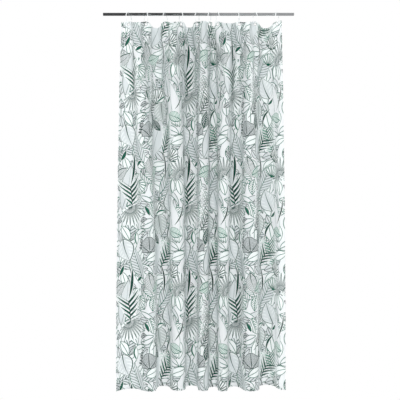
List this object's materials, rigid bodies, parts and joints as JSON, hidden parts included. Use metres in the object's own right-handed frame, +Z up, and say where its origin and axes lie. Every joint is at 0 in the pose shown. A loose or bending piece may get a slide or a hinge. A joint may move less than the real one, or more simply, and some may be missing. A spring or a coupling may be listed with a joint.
{
  "type": "shower curtain",
  "caption": "Pleated printed shower curtain hung from a straight steel rod by plastic rings through eyelets; the rings slide and the cloth swings.",
  "frame": {"origin": "on the rod's axis, half way along the rod", "axes": "+X along the rod to the right seen from the front, +Y towards the back, +Z up"},
  "size_m": [1.04, 0.1696, 2.0522],
  "materials": {
    "rod_steel": "polished",
    "rod_plug": "satin",
    "ring_plastic": "milky, slightly clear",
    "eyelet_plastic": "milky, half clear",
    "printed_cloth": "plain weave with a leaf print"
  },
  "bodies": {
    "rod": {"rod_tube": "rod_steel", "rod_plug_left": "rod_plug", "rod_plug_right": "rod_plug"},
    "ring_01": {"ring_01": "ring_plastic", "eyelet_front_01": "eyelet_plastic", "eyelet_washer_01": "eyelet_plastic", "cloth_edge_left": "printed_cloth", "cloth_fold_01": "printed_cloth"},
    "ring_02": {"ring_02": "ring_plastic", "eyelet_front_02": "eyelet_plastic", "eyelet_washer_02": "eyelet_plastic", "cloth_fold_02": "printed_cloth"},
    "ring_03": {"ring_03": "ring_plastic", "eyelet_front_03": "eyelet_plastic", "eyelet_washer_03": "eyelet_plastic", "cloth_fold_03": "printed_cloth"},
    "ring_04": {"ring_04": "ring_plastic", "eyelet_front_04": "eyelet_plastic", "eyelet_washer_04": "eyelet_plastic", "cloth_fold_04": "printed_cloth"},
    "ring_05": {"ring_05": "ring_plastic", "eyelet_front_05": "eyelet_plastic", "eyelet_washer_05": "eyelet_plastic", "cloth_fold_05": "printed_cloth"},
    "ring_06": {"ring_06": "ring_plastic", "eyelet_front_06": "eyelet_plastic", "eyelet_washer_06": "eyelet_plastic", "cloth_fold_06": "printed_cloth"},
    "ring_07": {"ring_07": "ring_plastic", "eyelet_front_07": "eyelet_plastic", "eyelet_washer_07": "eyelet_plastic", "cloth_fold_07": "printed_cloth"},
    "ring_08": {"ring_08": "ring_plastic", "eyelet_front_08": "eyelet_plastic", "eyelet_washer_08": "eyelet_plastic", "cloth_fold_08": "printed_cloth"},
    "ring_09": {"ring_09": "ring_plastic", "eyelet_front_09": "eyelet_plastic", "eyelet_washer_09": "eyelet_plastic", "cloth_fold_09": "printed_cloth"},
    "ring_10": {"ring_10": "ring_plastic", "eyelet_front_10": "eyelet_plastic", "eyelet_washer_10": "eyelet_plastic", "cloth_edge_right": "printed_cloth"}
  },
  "joints": [
    {"name": "curtain_swing", "type": "hinge", "parent": "rod", "child": "ring_01", "pos_m": [0, 0, 0], "axis": [1, 0, 0], "range_deg": [-20, 20]},
    {"name": "ring_02_slide", "type": "slide", "parent": "ring_01", "child": "ring_02", "axis": [1, 0, 0], "range_m": [-0.0455, 0.005], "deforming": ["cloth_fold_01"]},
    {"name": "ring_03_slide", "type": "slide", "parent": "ring_02", "child": "ring_03", "axis": [1, 0, 0], "range_m": [-0.05182, 0.00571], "deforming": ["cloth_fold_02"]},
    {"name": "ring_04_slide", "type": "slide", "parent": "ring_03", "child": "ring_04", "axis": [1, 0, 0], "range_m": [-0.03992, 0.0044], "deforming": ["cloth_fold_03"]},
    {"name": "ring_05_slide", "type": "slide", "parent": "ring_04", "child": "ring_05", "axis": [1, 0, 0], "range_m": [-0.03992, 0.0044], "deforming": ["cloth_fold_04"]},
    {"name": "ring_06_slide", "type": "slide", "parent": "ring_05", "child": "ring_06", "axis": [1, 0, 0], "range_m": [-0.02662, 0.00294], "deforming": ["cloth_fold_05"]},
    {"name": "ring_07_slide", "type": "slide", "parent": "ring_06", "child": "ring_07", "axis": [1, 0, 0], "range_m": [-0.00982, 0.0011], "deforming": ["cloth_fold_06"]},
    {"name": "ring_08_slide", "type": "slide", "parent": "ring_07", "child": "ring_08", "axis": [1, 0, 0], "range_m": [-0.06092, 0.00671], "deforming": ["cloth_fold_07"]},
    {"name": "ring_09_slide", "type": "slide", "parent": "ring_08", "child": "ring_09", "axis": [1, 0, 0], "range_m": [-0.03992, 0.0044], "deforming": ["cloth_fold_08"]},
    {"name": "ring_10_slide", "type": "slide", "parent": "ring_09", "child": "ring_10", "axis": [1, 0, 0], "range_m": [-0.06302, 0.00694], "deforming": ["cloth_fold_09"]}
  ],
  "couplings": [
    {"joint": "ring_03_slide", "follows": "ring_02_slide", "ratio": 1.1385},
    {"joint": "ring_04_slide", "follows": "ring_02_slide", "ratio": 0.87692},
    {"joint": "ring_05_slide", "follows": "ring_02_slide", "ratio": 0.87692},
    {"joint": "ring_06_slide", "follows": "ring_02_slide", "ratio": 0.58462},
    {"joint": "ring_07_slide", "follows": "ring_02_slide", "ratio": 0.21538},
    {"joint": "ring_08_slide", "follows": "ring_02_slide", "ratio": 1.3385},
    {"joint": "ring_09_slide", "follows": "ring_02_slide", "ratio": 0.87692},
    {"joint": "ring_10_slide", "follows": "ring_02_slide", "ratio": 1.3846}
  ]
}
